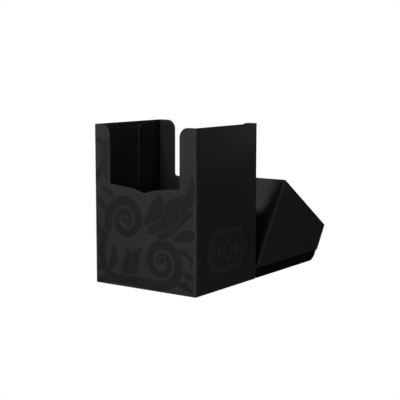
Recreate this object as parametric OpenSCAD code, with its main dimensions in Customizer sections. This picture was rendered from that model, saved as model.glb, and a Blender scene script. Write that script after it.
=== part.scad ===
// Upright trading-card deck box with a lift-off cap lid, folded from thin sheet. The open box stands on
// its base, and the lid rests behind it on its slanted rim. Millimetres, +Z up, origin at the centre of the
// box's underside, artwork face towards -Y.

/* [Box] */
// Outside width of the box
box_w = 77.9; // [72:0.1:90]
// Outside depth of the box
box_d = 67.8; // [56:0.1:80]
// Height of the box walls
box_h = 101; // [98:0.5:120]
// Thickness of the outer sheet
wrap_t = 0.8; // [0.6:0.05:1.2]
// Thickness of the inner sheets
liner_t = 0.8; // [0.5:0.05:1.2]
// Outside radius of the upright folds
fold_r = 0.9; // [0.9:0.1:1.8]
// Height of the welded tabs that stand up from the base
tab_h = 9; // [5:0.5:15]

/* [Finger notches] */
// Clear width between the two front flanges
front_notch_w = 53.8; // [30:0.2:58]
// Height of the front notch's floor where it meets the flanges
front_notch_z = 64.2; // [50:0.2:80]
// Drop from the flanges to the shoulder of the front notch's point
shoulder_drop = 2; // [0.5:0.1:4]
// Drop from the flanges to the lowest tip of the front notch
tip_drop = 4.3; // [2.5:0.1:8]
// Distance of the shoulders from the middle
shoulder_x = 8; // [4:0.5:14]
// Clear width between the two back flanges
back_notch_w = 51.8; // [30:0.2:58]
// Height of the back notch's floor
back_notch_z = 63.3; // [50:0.2:80]
// Radius of the flanges' top inner corners
flange_r = 6; // [2:0.2:9]
// Radius in the bottom corners of the back notch
back_notch_r = 2; // [0.5:0.1:4]

/* [Liners] */
// How far the rear liner's wings reach forward from the inside of the back wall
wing_len = 24; // [12:0.2:40]
// How far the rear liner stops below the top of the box, at the back wall
rear_top_gap = 0.5; // [0.2:0.1:3]
// How much lower each wing's top is at its front end than at the back wall
wing_drop = 1.2; // [0:0.1:4]
// How far the front liner stops below the top of the box
front_top_gap = 1.7; // [0.5:0.1:4]
// Size of the chamfer on each wing's top front corner
wing_chamfer = 2.6; // [1:0.1:6]
// How far the rear liner's edge is set back from the notch's edge
rear_setback = 0.5; // [0.3:0.1:2]
// How far the front liner's edge is set back from the notch's edge
front_setback = 1.6; // [0.8:0.1:3]

/* [Lid] */
// Thickness of the lid's sheet
lid_t = 0.6; // [0.5:0.05:1]
// Thickness of the lid's side tongues
tongue_t = 0.5; // [0.4:0.05:0.8]
// Sliding clearance between the closed lid and the box, each side
lid_clear = 0.15; // [0.1:0.05:0.4]
// Length of the lid's front panel, measured down its outside
lid_front = 65.7; // [55:0.1:75]
// Slope of the rim across the closed lid, which is also how far the lid leans back at rest
lid_tilt = 33.5; // [25:0.1:36]
// How far the tongues reach past the slanted rim
tongue_drop = 6.8; // [3:0.1:9]
// Radius of the tongue's far corner
tongue_r = 10; // [3:0.5:11]
// Radius of the tongue's near corner
tongue_near_r = 1; // [0.5:0.1:2]
// How far the resting lid stands to the right of the box's middle
lid_shift = -1; // [-3:0.1:3]
// Gap between the box's back wall and the resting lid
lid_gap = 0.5; // [0.4:0.1:20]
// Outside radius of the lid's folds
lid_fold_r = 1; // [0.8:0.1:1.5]

/* [Emblem] */
// Width of the emblem's frame
emblem_w = 46; // [20:1:50]
// Height of the emblem's frame
emblem_h = 26; // [12:1:28]
// Height of the emblem's centre above the ground
emblem_z = 24; // [16:0.5:30]
// Width of the emblem's outer line
emblem_line = 1.5; // [0.6:0.1:2]
// Width of the emblem's inner line, and of the gap outside it
emblem_fine = 0.9; // [0.5:0.1:1]
// Thickness of the emblem's film
emblem_t = 0.1; // [0.05:0.05:0.15]

/* [Hidden] */
$fn = 64;
over = 2;                                  // how far a cutter runs past what it cuts
wall_cut = 8;                              // depth of a cutter that goes through a wall and its liner
SHEET = [0.035, 0.035, 0.037];
LINER = [0.02, 0.02, 0.022];
FILM = [0.06, 0.06, 0.063];

inner_w = box_w - 2 * wrap_t;              // inside the outer sheet
inner_d = box_d - 2 * wrap_t;
tab_inset = 8;                             // from the inside of a wall to the end of the tab on the next wall
lay_gap = 0.2;                             // clearance round a loose sheet
liner_z = tab_h + lay_gap;                 // liners start just above the base's tabs
rear_top = box_h - rear_top_gap;
wing_top = rear_top - wing_drop;
front_top = box_h - front_top_gap;
front_gap = 0.6;                           // from the front liner's ends to the side walls
wing_front = inner_d / 2 - wing_len;       // y of the wings' front edge
lid_w = box_w + 2 * (lid_clear + tongue_t + lid_t);
lid_d = box_d + 2 * (lid_clear + lid_t);
lid_back = lid_front - lid_d * tan(lid_tilt);
tongue_air = 0.1;                          // between the tongue's edges and the lid's front and top panels
tongue_back = lid_d - lid_t - 4 * tongue_air;
tongue_near = 0.9;                         // from the lid's near corner to the tongue's near edge, along the rim
tongue_end = (tongue_back - tongue_drop * sin(lid_tilt)) / cos(lid_tilt);
tongue_tangent = tongue_r * tan((90 - lid_tilt) / 2);

// Rectangle centred on the origin with round corners made of true circles.
module round_rect(w, d, r) {
  square([w, d - 2 * r], center = true);
  square([w - 2 * r, d], center = true);
  for (sx = [-1, 1], sy = [-1, 1]) translate([sx * (w / 2 - r), sy * (d / 2 - r)]) circle(r);
}

// Upright block with round vertical edges, from z0 to z1.
module upright_block(w, d, r, z0, z1) {
  translate([0, 0, z0]) linear_extrude(z1 - z0) round_rect(w, d, r);
}

// Cuts a square corner back to a quarter circle: the corner sits at the origin and the sheet lies to +X, -Y.
module corner_cut(r) {
  difference() {
    translate([-over, -r]) square([r + over, r + over]);
    translate([r, -r]) circle(r);
    translate([r, -r - over]) square([over, r + over]);
  }
}

// Opening between two flanges whose top inner corners are round, drawn in x and z. The floor comes as children.
module flange_opening(half_w, top) {
  children();
  for (s = [0, 1]) mirror([s, 0]) translate([half_w, top]) corner_cut(flange_r);
}

// Front notch: its floor falls gently to shoulders and then to a point. inset widens it all round.
module front_notch(inset, top) {
  half = front_notch_w / 2 + inset;
  z_end = front_notch_z - inset;
  flange_opening(half, top)
    polygon([
      [-half, z_end], [-shoulder_x, z_end - shoulder_drop], [0, z_end - tip_drop],
      [shoulder_x, z_end - shoulder_drop], [half, z_end], [half, box_h + over], [-half, box_h + over],
    ]);
}

// Back notch: a level floor with small round corners.
module back_notch(inset, top) {
  half = back_notch_w / 2 + inset;
  z_floor = back_notch_z - inset;
  tall = box_h + over - z_floor;
  flange_opening(half, top) {
    translate([-half, z_floor + back_notch_r]) square([2 * half, tall - back_notch_r]);
    translate([-half + back_notch_r, z_floor]) square([2 * (half - back_notch_r), tall]);
    for (s = [-1, 1]) translate([s * (half - back_notch_r), z_floor + back_notch_r]) circle(back_notch_r);
  }
}

// Stands a shape drawn in x and z upright and runs it through a wall centred at y.
module through_wall(y, depth) {
  translate([0, y + depth / 2, 0]) rotate([90, 0, 0]) linear_extrude(depth) children();
}

// The printed outer sheet, folded round front, sides and back.
module outer_wrap() {
  color(SHEET) difference() {
    upright_block(box_w, box_d, fold_r, 0, box_h);
    upright_block(inner_w, inner_d, fold_r - wrap_t, -over, box_h + over);
    through_wall(-box_d / 2, wall_cut) front_notch(0, box_h);
    through_wall(box_d / 2, wall_cut) back_notch(0, box_h);
  }
}

// The bottom panel, with a tab standing up inside each wall.
module base_panel() {
  tab_w = inner_w - 2 * tab_inset;
  tab_d = inner_d - 2 * tab_inset;
  color(SHEET) {
    upright_block(inner_w, inner_d, fold_r - wrap_t, 0, wrap_t);
    for (s = [-1, 1]) {
      translate([s * (inner_w - liner_t) / 2, 0, tab_h / 2]) cube([liner_t, tab_d, tab_h], center = true);
      translate([0, s * (inner_d - liner_t) / 2, tab_h / 2]) cube([tab_w, liner_t, tab_h], center = true);
    }
  }
}

// The flat sheet that lies on the base panel between the tabs.
module floor_liner() {
  shrink = 2 * (liner_t + lay_gap);
  corner = 1;
  color(LINER) upright_block(inner_w - shrink, inner_d - shrink, corner, wrap_t, wrap_t + liner_t);
}

// The rear liner seen from the side, in y and z: its wings slope down forwards and end in a chamfer.
module wing_profile() {
  back = inner_d / 2;
  polygon([
    [wing_front, 0], [wing_front, wing_top - wing_chamfer], [wing_front + wing_chamfer, wing_top],
    [back - liner_t, rear_top], [back + over, rear_top], [back + over, 0],
  ]);
}

// The inner sheet behind the back wall, with a chamfered wing folded forward along each side wall.
module rear_liner() {
  bay_w = inner_w - 2 * liner_t;
  color(LINER) difference() {
    intersection() {
      upright_block(inner_w, inner_d, fold_r - wrap_t, liner_z, rear_top);
      rotate([90, 0, 90]) linear_extrude(box_w, center = true) wing_profile();
    }
    translate([-bay_w / 2, -inner_d / 2 - liner_t, 0]) cube([bay_w, inner_d, box_h]);
    through_wall(box_d / 2, wall_cut) back_notch(rear_setback, rear_top);
  }
}

// The flat inner sheet behind the artwork face.
module front_liner() {
  color(LINER) through_wall(-inner_d / 2 + liner_t / 2, liner_t) difference() {
    translate([-inner_w / 2 + front_gap, liner_z]) square([inner_w - 2 * front_gap, front_top - liner_z]);
    front_notch(front_setback, front_top);
  }
}

// A hexagon pointed at both ends.
module emblem_outline(w, h) {
  shoulder = w / 2 - h / 3;
  polygon([
    [-w / 2, 0], [-shoulder, h / 2], [shoulder, h / 2], [w / 2, 0], [shoulder, -h / 2], [-shoulder, -h / 2],
  ]);
}

module diamond(w, h) {
  polygon([[-w / 2, 0], [0, h / 2], [w / 2, 0], [0, -h / 2]]);
}

// The outline of a pointed hexagon, drawn with a line of constant width.
module emblem_frame(w, h, line) {
  difference() {
    emblem_outline(w, h);
    emblem_outline(w - 3 * line, h - 2 * line);
  }
}

// A plain double frame round a row of five diamonds that grow towards the middle.
module emblem_2d() {
  step = emblem_line + emblem_fine;
  middle_w = emblem_w / 4;
  middle_h = emblem_h * 2 / 3;
  near_x = emblem_w / 5;
  far_x = 1.6 * near_x;
  emblem_frame(emblem_w, emblem_h, emblem_line);
  emblem_frame(emblem_w - 3 * step, emblem_h - 2 * step, emblem_fine);
  difference() {
    diamond(middle_w, middle_h);
    diamond(middle_w - 3 * emblem_line, middle_h - 4 * emblem_line);
  }
  for (s = [-1, 1]) {
    translate([s * near_x, 0]) diamond(middle_w / 2, middle_h * 2 / 3);
    translate([s * far_x, 0]) diamond(middle_w / 3, middle_h / 3);
  }
}

// The emblem's film on one side wall: side is -1 for left and 1 for right.
module emblem(side) {
  color(FILM) translate([side * box_w / 2, 0, emblem_z])
    rotate([90, 0, side * 90]) linear_extrude(emblem_t) emblem_2d();
}

module emblem_left() { emblem(-1); }
module emblem_right() { emblem(1); }

// Moves the lid from its closed attitude, with the front panel's lower corner at the origin, to its resting place.
module place_lid() {
  translate([lid_shift, box_d / 2 + lid_gap, tongue_drop]) rotate([-lid_tilt, 0, 0]) children();
}

// A block with all its edges rounded, as three round-edged bars meet. It hangs below z = lid_front.
module folded_block(w, d, r, y0) {
  h = 2 * lid_front;
  translate([0, y0 + d / 2, lid_front - h / 2]) intersection() {
    linear_extrude(h + over, center = true) round_rect(w, d, r);
    rotate([90, 0, 0]) linear_extrude(d + over, center = true) round_rect(w, h, r);
    rotate([90, 0, 90]) linear_extrude(w + over, center = true) round_rect(d, h, r);
  }
}

// Everything above the slanted rim, lowered by drop.
module above_rim(drop) {
  side = 3 * lid_front;
  rotate([lid_tilt, 0, 0]) translate([-side / 2, -side / 2, -drop]) cube([side, side, side]);
}

// The lid's sheet: front, top, short back and slanted sides.
module lid_shell() {
  color(SHEET) place_lid() intersection() {
    difference() {
      folded_block(lid_w, lid_d, lid_fold_r, 0);
      translate([0, 0, -lid_t])
        folded_block(lid_w - 2 * lid_t, lid_d - 2 * lid_t, lid_fold_r - lid_t, lid_t);
    }
    above_rim(0);
  }
}

// The tongue's shape above and past the rim, drawn in the closed lid's y and z before its corners are cut.
module tongue_blank() {
  near = lid_t + tongue_air;
  top = lid_front - lid_t - tongue_air;
  translate([near, -2 * tongue_drop]) square([tongue_back - near, top + 2 * tongue_drop]);
}

// One side tongue. Seen along the rim, its near edge drops square to the rim and its far corner is round.
module tongue_2d() {
  long = 3 * lid_d;
  difference() {
    tongue_blank();
    rotate(lid_tilt) {
      translate([-lid_d, -tongue_drop - long]) square([long, long]);
      translate([tongue_near - long, -long + tongue_near_r]) square([long, long]);
      translate([tongue_near, -tongue_drop]) near_corner_cut();
      translate([tongue_end, -tongue_drop]) far_corner_cut();
    }
  }
}

// Rounds the tongue's near lower corner, which sits at the origin.
module near_corner_cut() {
  difference() {
    translate([-over, -over]) square(over + tongue_near_r);
    translate([tongue_near_r, tongue_near_r]) circle(tongue_near_r);
  }
}

// Takes the tongue's far lower corner, at the origin, back to a round of radius tongue_r.
module far_corner_cut() {
  out = 3 * tongue_tangent;
  translate([-tongue_tangent, 0]) difference() {
    polygon([
      [0, -over], [out, -over], [out, out],
      [tongue_tangent * (1 + sin(lid_tilt)), tongue_tangent * cos(lid_tilt)], [0, 0],
    ]);
    translate([0, tongue_r]) circle(tongue_r);
  }
}

// A side tongue lies flat against the inside of the lid's side panel: side is -1 for left and 1 for right.
module lid_tongue(side) {
  mid_x = lid_w / 2 - lid_t - tongue_t / 2;
  color(LINER) place_lid()
    translate([side * mid_x - tongue_t / 2, 0, 0]) rotate([90, 0, 90]) linear_extrude(tongue_t) tongue_2d();
}

module lid_tongue_left() { lid_tongue(-1); }
module lid_tongue_right() { lid_tongue(1); }

outer_wrap();
base_panel();
floor_liner();
rear_liner();
front_liner();
emblem_left();
emblem_right();
lid_shell();
lid_tongue_left();
lid_tongue_right();
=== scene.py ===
import math

import bmesh
import bpy
import numpy as np
from mathutils import Matrix, Vector
from mathutils.geometry import delaunay_2d_cdt


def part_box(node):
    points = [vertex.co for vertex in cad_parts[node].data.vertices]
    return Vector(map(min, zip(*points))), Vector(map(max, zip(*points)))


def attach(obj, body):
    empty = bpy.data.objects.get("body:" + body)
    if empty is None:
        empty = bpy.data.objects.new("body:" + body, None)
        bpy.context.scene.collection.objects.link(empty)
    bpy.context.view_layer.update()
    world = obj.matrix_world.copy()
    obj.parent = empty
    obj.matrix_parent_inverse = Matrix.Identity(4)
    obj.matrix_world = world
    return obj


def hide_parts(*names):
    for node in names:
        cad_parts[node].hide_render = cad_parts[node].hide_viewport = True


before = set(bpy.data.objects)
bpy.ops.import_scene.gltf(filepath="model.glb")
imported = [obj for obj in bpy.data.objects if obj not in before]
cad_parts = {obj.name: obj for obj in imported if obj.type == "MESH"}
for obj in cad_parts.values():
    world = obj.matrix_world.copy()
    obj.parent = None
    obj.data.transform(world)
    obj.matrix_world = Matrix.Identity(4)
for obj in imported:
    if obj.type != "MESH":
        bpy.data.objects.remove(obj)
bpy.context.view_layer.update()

# A black folded-sheet deck box stands open, and its slant-rimmed lid rests behind it. Lengths are in metres.
MM = 0.001

# ---------------------------------------------------------------------------- sizes
WRAP_LOW, WRAP_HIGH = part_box("outer_wrap")
BOX_W = WRAP_HIGH.x - WRAP_LOW.x
BOX_D = WRAP_HIGH.y - WRAP_LOW.y
BOX_H = WRAP_HIGH.z
SHEET_T = 0.8 * MM
FOLD_R = 0.9 * MM

# The notches between the flanges: half-widths and heights, and the front notch's V-shaped floor.
FLANGE_R = 6 * MM
FRONT_HALF = 26.9 * MM
FRONT_END_Z = 64.2 * MM
SHOULDER_X = 8 * MM
SHOULDER_DROP = 2 * MM
TIP_DROP = 4.3 * MM
BACK_HALF = 25.9 * MM
BACK_FLOOR_Z = 63.3 * MM
BACK_CORNER_R = 2 * MM

LINER_LOW, LINER_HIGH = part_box("rear_liner")
LINER_T = 0.8 * MM
LINER_SETBACK = 0.5 * MM
LINER_FOLD_R = 1 * MM
WING_CHAMFER = 2.6 * MM
WING_DROP = 1.2 * MM
PAINTED_HIGHLIGHT_REACH = 10 * MM           # how far back from the wings' front edge their cut edge is pale, a painted highlight where the front light catches it
SKIN_GAP = 0.02 * MM          # air between two sheets that lie face to face

LID_LOW, LID_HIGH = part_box("lid_shell")
LID_W = LID_HIGH.x - LID_LOW.x
LID_MID = (LID_HIGH.x + LID_LOW.x) / 2
LID_T = 0.6 * MM
LID_FOLD_R = 1 * MM
LID_TILT = math.radians(33.5)
LID_FRONT = 65.7 * MM
LID_CLEAR = 0.15 * MM         # between the closed lid and the box, on each side
LID_D = BOX_D + 2 * (LID_CLEAR + LID_T)
LID_BACK = LID_FRONT - LID_D * math.tan(LID_TILT)
TONGUE_T = 0.5 * MM
TONGUE_DROP = LID_LOW.z
TONGUE_NEAR = 0.9 * MM        # from the lid's near corner to the tongue's near edge, along the rim
TONGUE_NEAR_R = 1 * MM
TONGUE_FAR_R = 10 * MM
TONGUE_INSET = 0.4 * MM       # between the tongue's far edge and the lid's back panel
TONGUE_AIR = 0.1 * MM         # between the tongue's edges and the lid's front and top panels

PRINT_T = 0.02 * MM           # the printed film is half sunk in the sheet, and its face is the CAD face
PRINT_MARGIN = 0.3 * MM       # from the print to the sheet's cut edge
BOX_PRINT_WRAP = 9 * MM       # how far round each side fold the print may reach
LID_PRINT_WRAP = 8 * MM

CUT_EDGE = 0.12 * MM          # softening of a die-cut edge
WEAR_BAND = 0.9 * MM          # width of the rubbed band along a cut edge
FOLD_WEAR = 0.5
LID_EDGE_WEAR = 0.2           # where a flat panel of the lid meets a fold or the rim
NO_SIZE = 1e-6                # points closer than this are one point
CUT_SLACK = 1e-7              # how near a point a cut may pass and still go through it
FILL_SLACK = 1e-8
SHARP_ANGLE = math.radians(40)

# How finely the sheets are divided.
RUN_STEP = 8 * MM
ROW_STEP = 12 * MM
LID_STEP = 9 * MM
LID_STRIP = 2 * MM            # from a fold's outer line to the first division of a lid panel
LID_PANEL = 100 * MM ** 2     # a lid face larger than this is a flat panel, not a fold
LID_CELL = 3 * MM ** 2        # a divided face larger than this lies inside a panel
TONGUE_ROWS = [0, 9 * MM, 27 * MM, 42 * MM]

# The photograph's viewpoint, in metres and degrees.
CAMERA_PLACE = (0.3746, -0.5105, 0.137)
CAMERA_TURN, CAMERA_DOWN, CAMERA_ROLL = 34.92, 7.63, 0.1
CAMERA_LENS, CAMERA_SENSOR = 90, 36        # mm
LIGHT_AIM = Vector((0, 0.02, 0.05))
STUDIO_R = 6


# ---------------------------------------------------------------------------- camera, light, floor
def make_camera():
    """The photograph's viewpoint: front right, a little above the box."""
    data = bpy.data.cameras.new("camera")
    data.lens = CAMERA_LENS
    data.sensor_width = CAMERA_SENSOR
    cam = bpy.data.objects.new("camera", data)
    bpy.context.scene.collection.objects.link(cam)
    turn = Matrix.Rotation(math.radians(CAMERA_TURN), 4, "Z")
    pitch = Matrix.Rotation(math.radians(90 - CAMERA_DOWN), 4, "X")
    roll = Matrix.Rotation(math.radians(CAMERA_ROLL), 4, "Z")
    cam.matrix_world = Matrix.Translation(CAMERA_PLACE) @ turn @ pitch @ roll
    bpy.context.scene.camera = cam


def area_light(name, azimuth, elevation, distance, size, power):
    """A disc light aimed at the object's middle. Azimuth 0 is straight in front, and positive is right."""
    a, e = math.radians(azimuth), math.radians(elevation)
    back = Vector((math.sin(a) * math.cos(e), -math.cos(a) * math.cos(e), math.sin(e)))
    data = bpy.data.lights.new(name, "AREA")
    data.shape = "DISK"
    data.size = size
    data.energy = power
    light = bpy.data.objects.new(name, data)
    light.location = LIGHT_AIM + back * distance
    light.rotation_euler = back.to_track_quat("Z", "Y").to_euler()
    light.visible_camera = False
    bpy.context.scene.collection.objects.link(light)


def glow_material(name):
    """Plain white surface that shines by itself, so that it looks the same however it is lit."""
    mat = bpy.data.materials.new(name)
    mat.use_nodes = True
    shader = mat.node_tree.nodes["Principled BSDF"]
    shader.inputs["Base Color"].default_value = (0, 0, 0, 1)
    shader.inputs["Roughness"].default_value = 1
    shader.inputs["Specular IOR Level"].default_value = 0
    shader.inputs["Emission Color"].default_value = (1, 1, 1, 1)
    shader.inputs["Emission Strength"].default_value = 1
    return mat


def shaded_floor_material():
    """Pale glowing floor that stays white except where something closely covers it. There an
    ambient-occlusion node paints shade into its glow.
    """
    mat = glow_material("floor_white")
    tree = mat.node_tree
    # Painted shade: ambient occlusion dims the floor's glow under and beside the object.
    cover = tree.nodes.new("ShaderNodeAmbientOcclusion")
    cover.samples = 24
    cover.inputs["Distance"].default_value = 0.15
    shade = tree.nodes.new("ShaderNodeMapRange")
    shade.inputs["From Max"].default_value = 0.45
    tree.links.new(cover.outputs["AO"], shade.inputs["Value"])
    tree.links.new(shade.outputs["Result"], tree.nodes["Principled BSDF"].inputs["Emission Strength"])
    return mat


def seen_only(obj):
    """The camera sees obj, and it throws no light on the object."""
    obj.visible_diffuse = False
    obj.visible_glossy = False
    obj.visible_transmission = False
    obj.visible_shadow = False


def make_studio():
    """A pale floor and backdrop, two high key lights in front, soft fills and two small accents behind."""
    disc = bmesh.new()
    bmesh.ops.create_circle(disc, cap_ends=True, segments=96, radius=STUDIO_R)
    ball = bmesh.new()
    bmesh.ops.create_uvsphere(ball, u_segments=48, v_segments=24, radius=STUDIO_R)
    for name, bm, mat in (
        ("floor", disc, shaded_floor_material()),
        ("backdrop", ball, glow_material("backdrop_white")),
    ):
        mesh = bpy.data.meshes.new(name)
        bm.to_mesh(mesh)
        bm.free()
        mesh.materials.append(mat)
        obj = bpy.data.objects.new(name, mesh)
        bpy.context.scene.collection.objects.link(obj)
        seen_only(obj)

    world = bpy.data.worlds.new("studio")
    world.use_nodes = True
    world.node_tree.nodes["Background"].inputs["Strength"].default_value = 0
    bpy.context.scene.world = world
    bpy.context.scene.view_settings.view_transform = "Standard"

    area_light("key", azimuth=-7, elevation=42, distance=1, size=0.22, power=2.85)
    area_light("key_upper", azimuth=-7, elevation=50, distance=1, size=0.22, power=1.05)
    area_light("front_fill", azimuth=8, elevation=5, distance=1, size=0.5, power=2.33)
    area_light("left_fill", azimuth=-45, elevation=10, distance=1, size=0.4, power=0.48)
    area_light("floor_return", azimuth=80, elevation=-10, distance=1.2, size=0.6, power=2.25)
    area_light("back_accent", azimuth=135, elevation=45, distance=0.25, size=0.05, power=0.03)
    area_light("corner_accent", azimuth=130, elevation=20, distance=0.13, size=0.02, power=0.0014)


# ---------------------------------------------------------------------------- materials
class Nodes:
    """Shorthand for building one material's node tree."""

    def __init__(self, name):
        self.mat = bpy.data.materials.new(name)
        self.mat.use_nodes = True
        self.tree = self.mat.node_tree
        self.shader = self.tree.nodes["Principled BSDF"]
        self.place = self.tree.nodes.new("ShaderNodeTexCoord").outputs["Object"]

    def add(self, kind, **settings):
        node = self.tree.nodes.new(kind)
        for key, value in settings.items():
            setattr(node, key, value)
        return node

    def link(self, source, target):
        self.tree.links.new(source, target)

    def noise(self, scale, detail, rough):
        node = self.add("ShaderNodeTexNoise")
        node.inputs["Scale"].default_value = scale
        node.inputs["Detail"].default_value = detail
        node.inputs["Roughness"].default_value = rough
        self.link(self.place, node.inputs["Vector"])
        return node.outputs["Fac"]

    def remap(self, value, low, high, to_low, to_high):
        node = self.add("ShaderNodeMapRange")
        node.clamp = True
        self.link(value, node.inputs["Value"])
        for key, number in zip(("From Min", "From Max", "To Min", "To Max"), (low, high, to_low, to_high)):
            node.inputs[key].default_value = number
        return node.outputs["Result"]

    def maths(self, operation, a, b):
        node = self.add("ShaderNodeMath", operation=operation)
        for socket, value in zip(node.inputs, (a, b)):
            if isinstance(value, (int, float)):
                socket.default_value = value
            else:
                self.link(value, socket)
        return node.outputs["Value"]

    def mix(self, factor, a, b):
        node = self.add("ShaderNodeMix", data_type="RGBA")
        self.link(factor, node.inputs["Factor"])
        for key, value in (("A", a), ("B", b)):
            socket = [s for s in node.inputs if s.name == key and s.type == "RGBA"][0]
            if isinstance(value, tuple):
                socket.default_value = (*value, 1)
            else:
                self.link(value, socket)
        return [s for s in node.outputs if s.type == "RGBA"][0]

    def bump(self, height, strength, distance):
        node = self.add("ShaderNodeBump")
        node.inputs["Strength"].default_value = strength
        node.inputs["Distance"].default_value = distance
        self.link(height, node.inputs["Height"])
        return node


def grey(value):
    return (value, value, value)


def sheet_material(name, tone, roughness, grain=1.0, wear_tone=2.0, specular=0.5):
    """Sanded polypropylene: fine grain, faint clouds, and folds and edges rubbed paler and duller."""
    n = Nodes(name)
    cloud = n.noise(scale=28, detail=4, rough=0.6)
    fine = n.noise(scale=3800, detail=2, rough=0.6)
    scuff = n.noise(scale=420, detail=5, rough=0.75)
    wear = n.add("ShaderNodeAttribute", attribute_name="wear").outputs["Fac"]
    rubbed = n.maths("MULTIPLY", wear, n.remap(scuff, 0.38, 0.62, 0.15, 1))
    base = n.mix(n.remap(cloud, 0.3, 0.7, 0, 1), grey(tone * 0.94), grey(tone * 1.06))
    colour = n.mix(rubbed, base, grey(tone * wear_tone))
    n.link(colour, n.shader.inputs["Base Color"])
    matt = n.maths("MULTIPLY", wear, 0.5)
    rough = n.maths("ADD", matt, n.remap(cloud, 0.25, 0.75, roughness - 0.04, roughness + 0.04))
    n.link(rough, n.shader.inputs["Roughness"])
    n.shader.inputs["Specular IOR Level"].default_value = specular
    coarse = n.bump(n.noise(scale=900, detail=2, rough=0.5), strength=0.25 * grain, distance=0.02 * MM)
    grained = n.bump(fine, strength=0.5 * grain, distance=0.012 * MM)
    n.link(coarse.outputs["Normal"], grained.inputs["Normal"])
    n.link(grained.outputs["Normal"], n.shader.inputs["Normal"])
    return n.mat


def make_materials():
    return {
        "sheet": sheet_material("printed_sheet", 0.030, 0.46, wear_tone=1.1),
        "inside": sheet_material("sheet_inside", 0.040, 0.38, grain=0.5),
        "cut": sheet_material("cut_edge", 0.05, 0.4, grain=0.4, wear_tone=1.2),
        # Painted highlight: a pale cut edge for the liner, which make_rear_liner keeps only near the wings'
        # front edge.
        "liner_cut_painted_highlight": sheet_material("liner_cut_edge", 0.05, 0.4, grain=0.4, wear_tone=1.1),
        "liner": sheet_material("liner_sheet", 0.0145, 0.44, grain=0.5),
        # The tongue is black. Its tone is darker and its shine weaker than the liner's, and this partly
        # paints the shade under the lid's side panels.
        "tongue": sheet_material("tongue_sheet", 0.006, 0.5, grain=0.6, specular=0.2),
        "art": sheet_material("printed_art", 0.014, 0.45, grain=0.3),
        # Painted sheen: the same print made paler than the sheet, used only where it runs onto the side
        # faces.
        "art_side_painted_sheen": sheet_material("printed_art_side", 0.045, 0.45, grain=0.3),
        "emblem": sheet_material("emblem_film", 0.052, 0.45, grain=0.3),
    }


# ---------------------------------------------------------------------------- sheet building
def arc(cx, cy, r, start, end, steps=10):
    """Points on an arc, angles in degrees."""
    angles = [math.radians(start + (end - start) * i / steps) for i in range(steps + 1)]
    return [(cx + r * math.cos(a), cy + r * math.sin(a)) for a in angles]


class FoldPath:
    """The outer face of a folded strip seen from above: straight runs with a round left turn between them."""

    def __init__(self, start, heading, runs, radius):
        self.radius = radius
        self.parts = []
        place, h = Vector(start), Vector(heading)
        s = 0
        for i, run in enumerate(runs):
            self.parts.append(("run", s, run, place.copy(), h.copy()))
            place += h * run
            s += run
            if i < len(runs) - 1:
                turn = radius * math.pi / 2
                self.parts.append(("fold", s, turn, place.copy(), h.copy()))
                left = Vector((-h.y, h.x))
                place += (h + left) * radius
                h = left
                s += turn
        self.length = s

    def folds(self):
        return [(s, s + size) for kind, s, size, _, _ in self.parts if kind == "fold"]

    def at(self, s):
        """The point at distance s along the strip, and the direction that faces out of the box there."""
        for kind, begin, size, place, h in self.parts:
            if s <= begin + size or (kind, begin) == (self.parts[-1][0], self.parts[-1][1]):
                break
        t = s - begin
        if kind == "run":
            return place + h * t, Vector((h.y, -h.x))
        a = t / self.radius
        left = Vector((-h.y, h.x))
        out = Vector((h.y, -h.x))
        centre = place + left * self.radius
        facing = out * math.cos(a) + h * math.sin(a)
        return centre + facing * self.radius, facing

    def place(self, s, z, shift=0.0):
        """The point at distance s and height z, moved out of the box by shift."""
        point, out = self.at(s)
        point = point + out * shift
        return Vector((point.x, point.y, z))


def fold_cuts(path, steps=6):
    """Where a folded strip is divided: across each fold, just beyond it, and now and then along the runs."""
    cuts = []
    for start, end in path.folds():
        cuts += [start + (end - start) * i / steps for i in range(steps + 1)]
        cuts += [start - WEAR_BAND, end + WEAR_BAND]
    for kind, start, size, _, _ in path.parts:
        if kind == "run":
            cuts += [start + cut for cut in grid_cuts(0, size, RUN_STEP)]
    return cuts


def grid_cuts(low, high, step):
    """Even divisions between low and high, about a step apart."""
    count = max(1, round((high - low) / step))
    return [low + (high - low) * i / count for i in range(1, count)]


def inner_loop(loop, distance):
    """The outline moved inwards by a distance. The outline runs anticlockwise."""
    points = np.array(loop)
    along = np.roll(points, -1, axis=0) - points
    along /= np.linalg.norm(along, axis=1)[:, None]
    inward = np.stack([-along[:, 1], along[:, 0]], axis=1)
    before = np.roll(inward, 1, axis=0)
    corner = (inward + before) / (1 + (inward * before).sum(axis=1))[:, None]
    return points + corner * distance


def loop_edges(loops):
    """Every loop's edges as two arrays of ends."""
    starts = np.concatenate([np.array(loop) for loop in loops])
    ends = np.concatenate([np.roll(np.array(loop), -1, axis=0) for loop in loops])
    return starts, ends


def inside(points, loops):
    """Which points lie inside an odd number of the loops."""
    a, b = loop_edges(loops)
    x, y = points[:, :1], points[:, 1:]
    crosses = (a[:, 1] > y) != (b[:, 1] > y)
    rise = np.where(a[:, 1] == b[:, 1], 1, b[:, 1] - a[:, 1])
    left_of = x < a[:, 0] + (y - a[:, 1]) * (b[:, 0] - a[:, 0]) / rise
    return (crosses & left_of).sum(axis=1) % 2 == 1


def edge_distance(points, loops):
    """Each point's distance to the nearest edge of the loops."""
    a, b = loop_edges(loops)
    along = b - a
    reach = points[:, None, :] - a
    t = np.clip((reach * along).sum(axis=2) / (along ** 2).sum(axis=1), 0, 1)
    return np.linalg.norm(reach - along * t[..., None], axis=2).min(axis=1)


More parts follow.
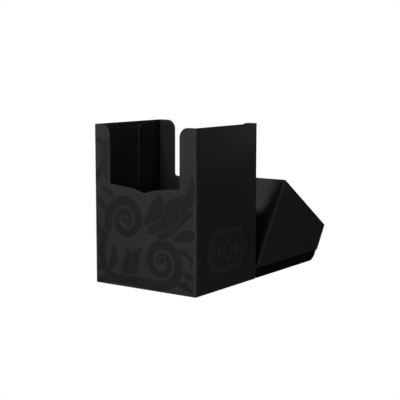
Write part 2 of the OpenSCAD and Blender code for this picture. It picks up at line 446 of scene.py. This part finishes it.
def flat_mesh(loops, guides, cuts_u, cuts_v):
    """Fills the loops with faces, divided along the guide loops and along lines of constant u and v."""
    points, edges = [], []
    for loop in [*loops, *guides]:
        first, count = len(points), len(loop)
        points += [Vector(p) for p in loop]
        edges += [(first + i, first + (i + 1) % count) for i in range(count)]
    corners = np.concatenate([np.array(loop) for loop in loops])
    low, high = corners.min(axis=0), corners.max(axis=0)
    for u in cuts_u:
        if low[0] < u < high[0]:
            edges.append((len(points), len(points) + 1))
            points += [Vector((u, low[1])), Vector((u, high[1]))]
    for v in cuts_v:
        edges.append((len(points), len(points) + 1))
        points += [Vector((low[0], v)), Vector((high[0], v))]
    spots, _, faces, _, _, _ = delaunay_2d_cdt(points, edges, [], 0, FILL_SLACK)
    flat = np.array([tuple(p) for p in spots])
    keep = inside(flat[np.array(faces)].mean(axis=1), loops)
    bm = bmesh.new()
    verts = [bm.verts.new((u, v, 0)) for u, v in flat]
    for face, kept in zip(faces, keep):
        if kept:
            bm.faces.new([verts[i] for i in face])
    loose = [v for v in bm.verts if not v.link_faces]
    bmesh.ops.delete(bm, geom=loose, context="VERTS")
    return bm


def with_modifiers(obj, modifiers):
    """Gives obj the mesh that these modifiers make of its own."""
    for kind, settings in modifiers:
        modifier = obj.modifiers.new(kind.lower(), kind)
        for key, value in settings.items():
            setattr(modifier, key, value)
    old = obj.data
    graph = bpy.context.evaluated_depsgraph_get()
    new = bpy.data.meshes.new_from_object(obj.evaluated_get(graph))
    obj.modifiers.clear()
    obj.data = new
    bpy.data.meshes.remove(old)


def drop_empty_faces(mesh):
    """Removes the faces of no area that a bevel leaves where it has no room."""
    bm = bmesh.new()
    bm.from_mesh(mesh)
    bmesh.ops.dissolve_degenerate(bm, dist=NO_SIZE, edges=bm.edges[:])
    bm.to_mesh(mesh)
    bm.free()


def finish_object(name, bm, materials, modifiers):
    """Makes an object of a bmesh, applies its modifiers and shades it smooth up to SHARP_ANGLE."""
    mesh = bpy.data.meshes.new(name)
    bm.normal_update()
    bm.to_mesh(mesh)
    bm.free()
    for mat in materials:
        mesh.materials.append(mat)
    obj = bpy.data.objects.new(name, mesh)
    bpy.context.scene.collection.objects.link(obj)
    with_modifiers(obj, modifiers)
    drop_empty_faces(obj.data)
    obj.data.shade_smooth()
    obj.data.set_sharp_from_angle(angle=SHARP_ANGLE)
    with_modifiers(obj, [("WEIGHTED_NORMAL", dict(keep_sharp=True))])
    obj.data.name = name
    return obj


def sheet_modifiers(thickness):
    """Turns a face into a sheet: the inside takes the second material and the cut edge the third."""
    return [
        ("SOLIDIFY", dict(thickness=thickness, offset=-1, use_even_offset=True,
                          material_offset=1, material_offset_rim=2)),
        ("BEVEL", dict(width=CUT_EDGE, segments=2, limit_method="ANGLE", angle_limit=math.radians(50))),
    ]


def sheet_mesh(outline, cuts_u, cuts_v, worn=()):
    """A flat sheet whose points carry wear: 1 on the cut edge, FOLD_WEAR within the worn stretches of u."""
    bm = flat_mesh([outline], [inner_loop(outline, WEAR_BAND)], cuts_u, cuts_v)
    layer = bm.verts.layers.float.new("wear")
    away = edge_distance(np.array([v.co[:2] for v in bm.verts]), [outline])
    for vert, distance in zip(bm.verts, away):
        folded = any(start - NO_SIZE <= vert.co.x <= end + NO_SIZE for start, end in worn)
        vert[layer] = max(1 - distance / WEAR_BAND, FOLD_WEAR if folded else 0)
    return bm


def bend(bm, path, shift=0.0):
    """Moves a flat mesh onto a folded path."""
    for vert in bm.verts:
        vert.co = path.place(vert.co.x, vert.co.y, shift)


def folded_sheet(name, outline, path, thickness, materials, cuts_v, shift=0.0, ring=False):
    """A die-cut outline wrapped along a fold path and given its thickness. A ring's two ends are one seam."""
    bm = sheet_mesh(outline, fold_cuts(path), cuts_v, path.folds())
    if ring:
        unwear_seam(bm, path)
    bend(bm, path, shift)
    if ring:
        bmesh.ops.remove_doubles(bm, verts=bm.verts[:], dist=NO_SIZE)
    return finish_object(name, bm, materials, sheet_modifiers(thickness))


def unwear_seam(bm, path):
    """Takes the wear off a ring's two ends, which aren't cut edges, but not off its top and bottom."""
    layer = bm.verts.layers.float["wear"]
    for vert in bm.verts:
        beside = min(vert.co.x, path.length - vert.co.x) < WEAR_BAND + NO_SIZE
        between = WEAR_BAND - NO_SIZE < vert.co.y < BOX_H - WEAR_BAND + NO_SIZE
        if beside and between:
            vert[layer] = 0


# ---------------------------------------------------------------------------- printed scrollwork
GRID = 0.3 * MM
HALO = 0.65 * MM              # bare stripe beside a vine that passes over another
FAR = 1.0                     # farther than any distance on the box
TRACE_SLACK = 0.02 * MM
SMALLEST_PRINT = (0.6 * MM) ** 2
CHUNK = 20000                 # points measured at a time, to spare memory

# Which sides of a grid cell (bottom, right, top, left) a line runs from and to. The number adds 1, 2, 4
# and 8 for print at the bottom left, bottom right, top right and top left corners.
EDGE_CASES = {
    1: ("BL",), 2: ("RB",), 3: ("RL",), 4: ("TR",), 5: ("BL", "TR"), 6: ("TB",), 7: ("TL",),
    8: ("LT",), 9: ("BT",), 10: ("RB", "LT"), 11: ("RT",), 12: ("LR",), 13: ("BR",), 14: ("LB",),
}


def smooth_line(points, steps=14):
    """Catmull-Rom curve in metres, through points (across, height, half-width) in millimetres."""
    p = np.array(points, float) * MM
    p = np.vstack([2 * p[0] - p[1], p, 2 * p[-1] - p[-2]])
    rows = []
    for a, b, c, d in zip(p, p[1:], p[2:], p[3:]):
        for t in np.arange(steps) / steps:
            square = (2 * a - 5 * b + 4 * c - d) * t ** 2
            cube = (3 * b - a - 3 * c + d) * t ** 3
            rows.append(0.5 * (2 * b + (c - a) * t + square + cube))
    rows.append(p[-2])
    return np.array(rows)


def leaf(x0, z0, x1, z1, width, bow=0.0, belly=0.4):
    """A pointed leaf from its stem to its tip, fattest at belly, bowed to the left by bow."""
    base, tip = np.array((x0, z0)), np.array((x1, z1))
    along = tip - base
    left = np.array((-along[1], along[0])) / np.linalg.norm(along)
    points = []
    for t in (0, 0.15, belly, 0.7, 0.88, 1):
        if t == 0:
            share = 0.12
        elif t < belly:
            share = math.sin(math.pi * t / belly / 2)
        else:
            share = 1 - ((t - belly) / (1 - belly)) ** 1.5
        spot = base + along * t + left * bow * math.sin(math.pi * t)
        points.append((*spot, width * share))
    return points


def curl(x, z, outer, inner, start, turns, wide, narrow):
    """A spiral that winds inwards from the outer radius. A positive number of turns runs anticlockwise."""
    count = max(6, round(abs(turns) * 9))
    points = []
    for i in range(count + 1):
        t = i / count
        r = outer + (inner - outer) * t ** 0.85
        a = math.radians(start + 360 * turns * t)
        points.append((x + r * math.cos(a), z + r * math.sin(a), wide + (narrow - wide) * t))
    return points


def box_vines():
    """Two leafed scrolls, from the middle of the front's lower edge. Later strokes pass over earlier ones."""
    return [
        # broad leaves that fan out to the upper right
        leaf(11, 31, 38, 51, 6.2, 4, 0.45), leaf(3, 36, 32, 62, 7.2, -2, 0.5),
        leaf(0, 41, 13, 61, 5.4, -3, 0.5), leaf(23, 33, 43, 36.5, 3.8, 2), leaf(28, 50, 36, 73, 3.6, -3),
        # leaves in the gap on the left
        leaf(-10, 5, -2, 26, 4.4, 3), leaf(-18, 5, -13.5, 26, 4, -3), leaf(-28, 9, -25, 27, 3, -2.5),
        # corner leaves
        leaf(24, 7, 37.5, 1.5, 2.4, 1.5), leaf(29, 13, 38, 9.5, 2.1, 1), leaf(-33, 30, -38.5, 41, 2.3, 1.2),
        leaf(-30, 46, -38, 55, 2.3, -1.2), leaf(-24, 55, -35, 62, 2.4, -1.5), leaf(-34, 9, -43, 15, 2, 1),
        # lower scroll, wound to the right, with the stem that feeds it
        [(-38, 1.6, 1), (-27, 4, 2.4), (-12, 4.6, 3), (2, 4.2, 3.2), (10, 3.6, 3.2)],
        curl(13.5, 18.6, 15.4, 3, 258, 1.75, 3.2, 1.5), leaf(12, 17.5, 16, 22, 1.9, 0.8),
        # upper scroll, wound to the left, with its own stem
        [(-22, 5, 1.8), (-31, 9.5, 2.5), (-34, 20, 2.9), (-32, 31, 3.1), (-28.5, 37, 3.2)],
        curl(-14.5, 42.3, 14.8, 3, 202, -1.7, 3.2, 1.5), leaf(-13, 41, -17, 45.5, 1.9, 0.8),
        # tendrils
        [(27.5, 26, 1.6), (32, 25.5, 1.5), (36, 21.5, 1.1), (35, 18, 0.4)],
        # left flange
        [(-43, 66, 0.8), (-36, 70, 2.3), (-31, 78, 2.7), (-32, 88, 2.3), (-38, 91, 1.6), (-41, 86.5, 0.4)],
        leaf(-32.5, 74, -29.3, 64.5, 2, 1.2), leaf(-32, 83, -28.8, 94, 1.8, -1),
    ]


def lid_vines():
    """The same kind of scrolls for the lid's front panel, as if flat. Height runs from the rim up."""
    return [
        leaf(-4, 22, 8, 44, 4.4, 3), leaf(4, 20, 24, 36, 4.2, -3), leaf(-10, 24, -26, 44, 4.2, 3),
        [(-44, 5, 0.6), (-30, 9, 2.1), (-14, 9.5, 2.6), (2, 8, 2.8), (12, 9, 2.6)],
        curl(16, 22, 13.5, 2.6, 250, 1.6, 2.6, 1.2),
        [(-14, 10, 1.8), (-28, 14, 2.3), (-34, 26, 2.6), (-33, 34, 2.7)],
        curl(-20, 40, 14, 2.6, 200, -1.6, 2.7, 1.2),
        leaf(33, 6, 43.5, 11.5, 1.3, -0.8), leaf(-34, 22, -43, 30, 1.8, 1),
    ]


def vine_field(vines, low, high):
    """Signed distance to the nearest stroke on a square grid, below zero on the print."""
    u = np.arange(low[0], high[0] + GRID, GRID)
    v = np.arange(low[1], high[1] + GRID, GRID)
    field = np.full((len(v), len(u)), FAR)
    for vine in vines:
        line = smooth_line(vine)
        reach = line[:, 2].max() + 2 * HALO
        i0, i1 = np.searchsorted(u, (line[:, 0].min() - reach, line[:, 0].max() + reach))
        j0, j1 = np.searchsorted(v, (line[:, 1].min() - reach, line[:, 1].max() + reach))
        if i1 - i0 < 2 or j1 - j0 < 2:
            continue
        uu, vv = np.meshgrid(u[i0:i1], v[j0:j1])
        near = np.full(uu.shape, FAR)
        for a, b in zip(line, line[1:]):
            step = b[:2] - a[:2]
            t = np.clip(((uu - a[0]) * step[0] + (vv - a[1]) * step[1]) / max(step @ step, 1e-12), 0, 1)
            gap = np.hypot(uu - a[0] - step[0] * t, vv - a[1] - step[1] * t)
            near = np.minimum(near, gap - (a[2] + (b[2] - a[2]) * t))
        old = field[j0:j1, i0:i1]
        field[j0:j1, i0:i1] = np.minimum(np.maximum(old, HALO - near), near)
    return u, v, field


def trace(u, v, field):
    """The closed lines where the field is zero, with the print on their left."""
    print_in = field < 0
    nxt, where = {}, {}
    cases = print_in[:-1, :-1] * 1 + print_in[:-1, 1:] * 2 + print_in[1:, 1:] * 4 + print_in[1:, :-1] * 8
    for j, i in zip(*np.nonzero((cases > 0) & (cases < 15))):
        keys = {"B": ("h", j, i), "T": ("h", j + 1, i), "L": ("v", j, i), "R": ("v", j, i + 1)}
        for start, end in EDGE_CASES[int(cases[j, i])]:
            nxt[keys[start]] = keys[end]
    for kind, j, i in nxt:
        a = field[j, i]
        if kind == "h":
            where[kind, j, i] = (u[i] + GRID * a / (a - field[j, i + 1]), v[j])
        else:
            where[kind, j, i] = (u[i], v[j] + GRID * a / (a - field[j + 1, i]))
    loops = []
    while nxt:
        start, _ = next(iter(nxt.items()))
        loop, key = [], start
        while key in nxt:
            loop.append(where[key])
            key = nxt.pop(key)
        loops.append(np.array(loop))
    return loops


def thin_out(points, slack):
    """Drops the points that lie closer than slack to the line through those that stay."""
    keep = np.zeros(len(points), bool)
    keep[[0, -1]] = True
    work = [(0, len(points) - 1)]
    while work:
        a, b = work.pop()
        if b - a < 2:
            continue
        chord = points[b] - points[a]
        rest = points[a + 1:b] - points[a]
        size = np.linalg.norm(chord)
        if size > 0:
            away = np.abs(rest[:, 0] * chord[1] - rest[:, 1] * chord[0]) / size
        else:
            away = np.linalg.norm(rest, axis=1)
        far = int(away.argmax())
        if away[far] > slack:
            keep[a + 1 + far] = True
            work += [(a, a + 1 + far), (a + 1 + far, b)]
    return points[keep]


def moved(vines, across):
    """The same strokes, moved across by a length in metres."""
    return [[(x + across / MM, z, w) for x, z, w in vine] for vine in vines]


def print_loops(vines, sheet_outline, low, high):
    """Outlines of the print between the corners low and high, kept a margin inside the sheet's outline."""
    u, v, field = vine_field(vines, low, high)
    field[0, :] = field[-1, :] = field[:, 0] = field[:, -1] = FAR
    uu, vv = np.meshgrid(u, v)
    spots = np.stack([uu.ravel(), vv.ravel()], axis=1)
    within = inside(spots, [sheet_outline])
    away = np.empty(len(spots))
    for first in range(0, len(spots), CHUNK):
        part = slice(first, first + CHUNK)
        away[part] = edge_distance(spots[part], [sheet_outline])
    edge = PRINT_MARGIN - np.where(within, away, -away)
    field = np.maximum(field, edge.reshape(field.shape))
    loops = []
    for loop in trace(u, v, field):
        far = int(np.linalg.norm(loop - loop[0], axis=1).argmax())
        there = thin_out(loop[:far + 1], TRACE_SLACK)
        back = thin_out(np.vstack([loop[far:], loop[:1]]), TRACE_SLACK)
        loop = np.vstack([there[:-1], back[:-1]])
        area = 0.5 * np.sum(loop[:, 0] * np.roll(loop[:, 1], -1) - np.roll(loop[:, 0], -1) * loop[:, 1])
        if abs(area) > SMALLEST_PRINT:
            loops.append([tuple(p) for p in loop])
    return loops


def print_film(name, loops, path, mats, place=Matrix()):
    """The film that fills the loops, bent along the path and moved to its place.

    The print is darker than the sheet up to the middle of the path's second fold; beyond it a paler copy of
    the print paints the sheen that it catches on the side faces.
    """
    side_start = path.folds()[1][0] + path.radius * math.pi / 4
    bm = flat_mesh(loops, [], fold_cuts(path) + [side_start], [])
    for face in bm.faces:
        face.material_index = int(face.calc_center_median().x > side_start)
    bend(bm, path)
    bmesh.ops.transform(bm, matrix=place, verts=bm.verts[:])
    return finish_object(name, bm, [mats["art"], mats["art_side_painted_sheen"]],
                         [("SOLIDIFY", dict(thickness=PRINT_T, offset=-1))])


# ---------------------------------------------------------------------------- box
def front_floor():
    """The V-shaped floor of the front notch, left to right, as (x, z)."""
    shoulder = FRONT_END_Z - SHOULDER_DROP
    return [(-FRONT_HALF, FRONT_END_Z), (-SHOULDER_X, shoulder), (0, FRONT_END_Z - TIP_DROP),
            (SHOULDER_X, shoulder), (FRONT_HALF, FRONT_END_Z)]


def back_floor(inset=0.0):
    """The level floor of the back notch with its small round corners, as (x, z), widened by inset."""
    half, floor, r = BACK_HALF + inset, BACK_FLOOR_Z - inset, BACK_CORNER_R
    return arc(-half + r, floor + r, r, 180, 270, 5) + arc(half - r, floor + r, r, 270, 360, 5)


def notch(half, floor, top):
    """A whole notch between two round-cornered flanges with their tops at top, left to right, as (x, z)."""
    r = FLANGE_R
    left = arc(-half - r, top - r, r, 90, 0)
    right = arc(half + r, top - r, r, 180, 90)
    return left + floor + right


def box_path():
    """Once round the box, from the middle of the left wall by way of the front."""
    side, front = BOX_D - 2 * FOLD_R, BOX_W - 2 * FOLD_R
    return FoldPath((-BOX_W / 2, 0), (0, -1), [side / 2, front, side, front, side / 2], FOLD_R)


def run_middle(path, index):
    """Distance along the path to the middle of one straight run."""
    runs = [p for p in path.parts if p[0] == "run"]
    return runs[index][1] + runs[index][2] / 2


def wrap_outline(path):
    """The whole wrap laid flat, as (distance along, height)."""
    front, back = run_middle(path, 1), run_middle(path, 3)
    top = [(front + x, z) for x, z in notch(FRONT_HALF, front_floor(), BOX_H)]
    top += [(back + x, z) for x, z in notch(BACK_HALF, back_floor(), BOX_H)]
    return [(0, 0), (path.length, 0), (path.length, BOX_H)] + top[::-1] + [(0, BOX_H)]


def make_wrap(mats):
    """The wrap, sunk by half the print's thickness below the CAD face."""
    path = box_path()
    looks = [mats["sheet"], mats["inside"], mats["cut"]]
    return folded_sheet("folded_wrap", wrap_outline(path), path, SHEET_T - PRINT_T / 2, looks,
                        grid_cuts(0, BOX_H, ROW_STEP), shift=-PRINT_T / 2, ring=True)


def make_box_print(mats):
    """The printed scrollwork on the box's front, which runs a little way round both front folds."""
    path = box_path()
    front = run_middle(path, 1)
    half = BOX_W / 2 + BOX_PRINT_WRAP
    low, high = (front - half, -GRID), (front + half, BOX_H + GRID)
    loops = print_loops(moved(box_vines(), front), wrap_outline(path), low, high)
    return print_film("printed_vines_box", loops, path, mats)


def make_rear_liner(mats):
    """The liner behind the back wall, with a wing folded forward along each side wall and a painted highlight
    on the wings' front cut edge.
    """
    radius = LINER_FOLD_R
    wing = LINER_HIGH.y - LINER_LOW.y - radius
    across = LINER_HIGH.x - LINER_LOW.x - 2 * radius
    path = FoldPath((LINER_HIGH.x, LINER_LOW.y), (0, 1), [wing, across, wing], radius)
    low, high = LINER_LOW.z, LINER_HIGH.z
    middle = path.length / 2
    ramp = [(0, high - WING_DROP - WING_CHAMFER), (WING_CHAMFER, high - WING_DROP), (wing, high)]
    opening = notch(BACK_HALF + LINER_SETBACK, back_floor(LINER_SETBACK), high)
    top = ramp + [(middle + x, z) for x, z in opening]
    top += [(path.length - s, z) for s, z in ramp[::-1]]
    outline = [(0, low), (path.length, low)] + top[::-1]
    looks = [mats["liner"], mats["liner"], mats["liner_cut_painted_highlight"]]
    liner = folded_sheet("rear_liner_sheet", outline, path, LINER_T - SKIN_GAP, looks,
                         grid_cuts(low, high, ROW_STEP), shift=-SKIN_GAP)
    # Farther back the cut edge takes the dark liner, so the pale painted highlight stays only where the front
    # light falls on the wings' edge.
    for face in liner.data.polygons:
        if face.center.y > LINER_LOW.y + PAINTED_HIGHLIGHT_REACH:
            face.material_index = 0
    return liner


# ---------------------------------------------------------------------------- lid
def lid_place():
    """From the closed lid's axes, with the front panel's lower edge at the origin, to where the lid rests."""
    return Matrix.Translation((LID_MID, LID_LOW.y, LID_LOW.z)) @ Matrix.Rotation(-LID_TILT, 4, "X")


def lid_panels():
    """The closed lid's five panels, sunk by half the print's thickness, and half the lid's width."""
    sink = PRINT_T / 2
    half, front, top, back = LID_W / 2 - sink, sink, LID_FRONT - sink, LID_D - sink
    profile = [(front, 0), (front, top), (back, top), (back, LID_FRONT - LID_BACK)]
    bm = bmesh.new()
    left = [bm.verts.new((-half, y, z)) for y, z in profile]
    right = [bm.verts.new((half, y, z)) for y, z in profile]
    bm.faces.new(left)
    bm.faces.new(right[::-1])
    for i in range(3):
        bm.faces.new([left[i], right[i], right[i + 1], left[i + 1]])
    bmesh.ops.recalc_face_normals(bm, faces=bm.faces[:])
    return bm, half


def divide_lid(bm, half):
    """Cuts the lid's panels into a grid, and takes the wear off the points inside the panels."""
    layer = bm.verts.layers.float["wear"]
    cuts = [(0, x) for x in grid_cuts(-half, half, LID_STEP) + [-half + LID_STRIP, half - LID_STRIP]]
    cuts += [(1, y) for y in grid_cuts(0, LID_D, LID_STEP) + [LID_STRIP, LID_D - LID_STRIP]]
    cuts += [(2, z) for z in grid_cuts(0, LID_FRONT, LID_STEP) + [LID_FRONT - LID_STRIP]]
    for axis, value in cuts:
        at, normal = [0, 0, 0], [0, 0, 0]
        at[axis], normal[axis] = value, 1
        before = set(bm.verts)
        everything = bm.verts[:] + bm.edges[:] + bm.faces[:]
        bmesh.ops.bisect_plane(bm, geom=everything, plane_co=at, plane_no=normal, dist=CUT_SLACK)
        for vert in set(bm.verts) - before:
            if all(f.calc_area() > LID_CELL for f in vert.link_faces) and not vert.is_boundary:
                vert[layer] = 0


def make_lid(mats):
    """The folded lid: round folds, then a grid that keeps the wear near the folds and the rim."""
    bm, half = lid_panels()
    layer = bm.verts.layers.float.new("wear")
    folds = [e for e in bm.edges if not e.is_boundary]
    bmesh.ops.bevel(bm, geom=folds, offset=LID_FOLD_R, segments=5, profile=0.5, affect="EDGES",
                    offset_type="OFFSET", clamp_overlap=False)
    for vert in bm.verts:
        on_panel = any(f.calc_area() > LID_PANEL for f in vert.link_faces)
        vert[layer] = LID_EDGE_WEAR if on_panel else FOLD_WEAR
    divide_lid(bm, half)
    for vert in bm.verts:
        if vert.is_boundary:
            vert[layer] = LID_EDGE_WEAR
    bmesh.ops.transform(bm, matrix=lid_place(), verts=bm.verts[:])
    looks = [mats["sheet"], mats["inside"], mats["cut"]]
    return finish_object("folded_lid", bm, looks, sheet_modifiers(LID_T))


def make_lid_print(mats):
    """The printed scrollwork on the lid's front panel, with its ends round the panel's side folds."""
    flat = LID_W - 2 * LID_FOLD_R
    run = LID_PRINT_WRAP - LID_FOLD_R
    path = FoldPath((-LID_W / 2, LID_PRINT_WRAP), (0, -1), [run, flat, run], LID_FOLD_R)
    front = run_middle(path, 1)
    reach = flat / 2 + LID_FOLD_R * math.pi / 4        # from the panel's middle to its side folds' middle
    rim, top = run * math.tan(LID_TILT), LID_FRONT - LID_FOLD_R
    right = [(front + reach, 0), (front + reach + run, rim), (front + reach + run, top)]
    outline = right + [(2 * front - u, v) for u, v in right[::-1]]
    low, high = (0, -GRID), (path.length, LID_FRONT + GRID)
    loops = print_loops(moved(lid_vines(), front), outline, low, high)
    return print_film("printed_vines_lid", loops, path, mats, lid_place())


def tongue_outline():
    """The tongue's outline along the rim (u) and square to it (v), in the resting lid's own upright axes."""
    up = Vector((math.sin(LID_TILT), math.cos(LID_TILT)))       # along the front panel
    over = Vector((math.cos(LID_TILT), -math.sin(LID_TILT)))    # along the top panel
    near, top = LID_T + TONGUE_AIR, LID_FRONT - LID_T - TONGUE_AIR
    back = LID_D - LID_T - TONGUE_INSET
    near_start = over * near + up * ((TONGUE_NEAR - over.x * near) / up.x)
    far_low = over * back + up * ((-TONGUE_DROP - over.y * back) / up.y)
    tangent = TONGUE_FAR_R * math.tan((math.pi / 2 - LID_TILT) / 2)
    turn = 90 - math.degrees(LID_TILT)
    points = arc(TONGUE_NEAR + TONGUE_NEAR_R, -TONGUE_DROP + TONGUE_NEAR_R, TONGUE_NEAR_R, 180, 270, 4)
    points += arc(far_low.x - tangent, -TONGUE_DROP + TONGUE_FAR_R, TONGUE_FAR_R, 270, 270 + turn, 12)
    points += [tuple(over * back + up * top), tuple(over * near + up * top), tuple(near_start)]
    return points


def make_tongue(name, side, mats):
    """One inner side sheet: side is -1 for left and 1 for right. Its outer face lies on the shell."""
    bm = sheet_mesh(tongue_outline(), grid_cuts(0, LID_HIGH.y - LID_LOW.y, LID_STEP), TONGUE_ROWS)
    outer = LID_MID + side * (LID_W / 2 - LID_T - SKIN_GAP)
    for vert in bm.verts:
        vert.co = Vector((outer, LID_LOW.y + vert.co.x, LID_LOW.z + vert.co.y))
    if side < 0:
        bmesh.ops.reverse_faces(bm, faces=bm.faces[:])
    # The tongue's extra darkness is partly painted shade under the lid's side panels.
    return finish_object(name, bm, [mats["tongue"]] * 3, sheet_modifiers(TONGUE_T - SKIN_GAP))


# ---------------------------------------------------------------------------- build
def carried_over(mats):
    """Gives the CAD nodes that stay their materials."""
    looks = {"base_panel": "sheet", "floor_liner": "liner", "front_liner": "liner",
             "emblem_left": "emblem", "emblem_right": "emblem"}
    for node, look in looks.items():
        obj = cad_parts[node]
        obj.data.materials.clear()
        obj.data.materials.append(mats[look])


def main():
    make_camera()
    make_studio()
    mats = make_materials()
    wrap = make_wrap(mats)
    liner = make_rear_liner(mats)
    lid = make_lid(mats)
    tongues = [make_tongue("tongue_sheet_left", -1, mats), make_tongue("tongue_sheet_right", 1, mats)]
    prints = [make_box_print(mats), make_lid_print(mats)]
    for piece, body in zip(prints, ("box", "lid")):
        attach(piece, body)
    for piece, body, node, slot in (
        (wrap, "box", "outer_wrap", "sheet"),
        (liner, "box", "rear_liner", "liner"),
        (lid, "lid", "lid_shell", "sheet"),
        (tongues[0], "lid", "lid_tongue_left", "liner"),
        (tongues[1], "lid", "lid_tongue_right", "liner"),
    ):
        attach(piece, body)
        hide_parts(node)
    carried_over(mats)


main()
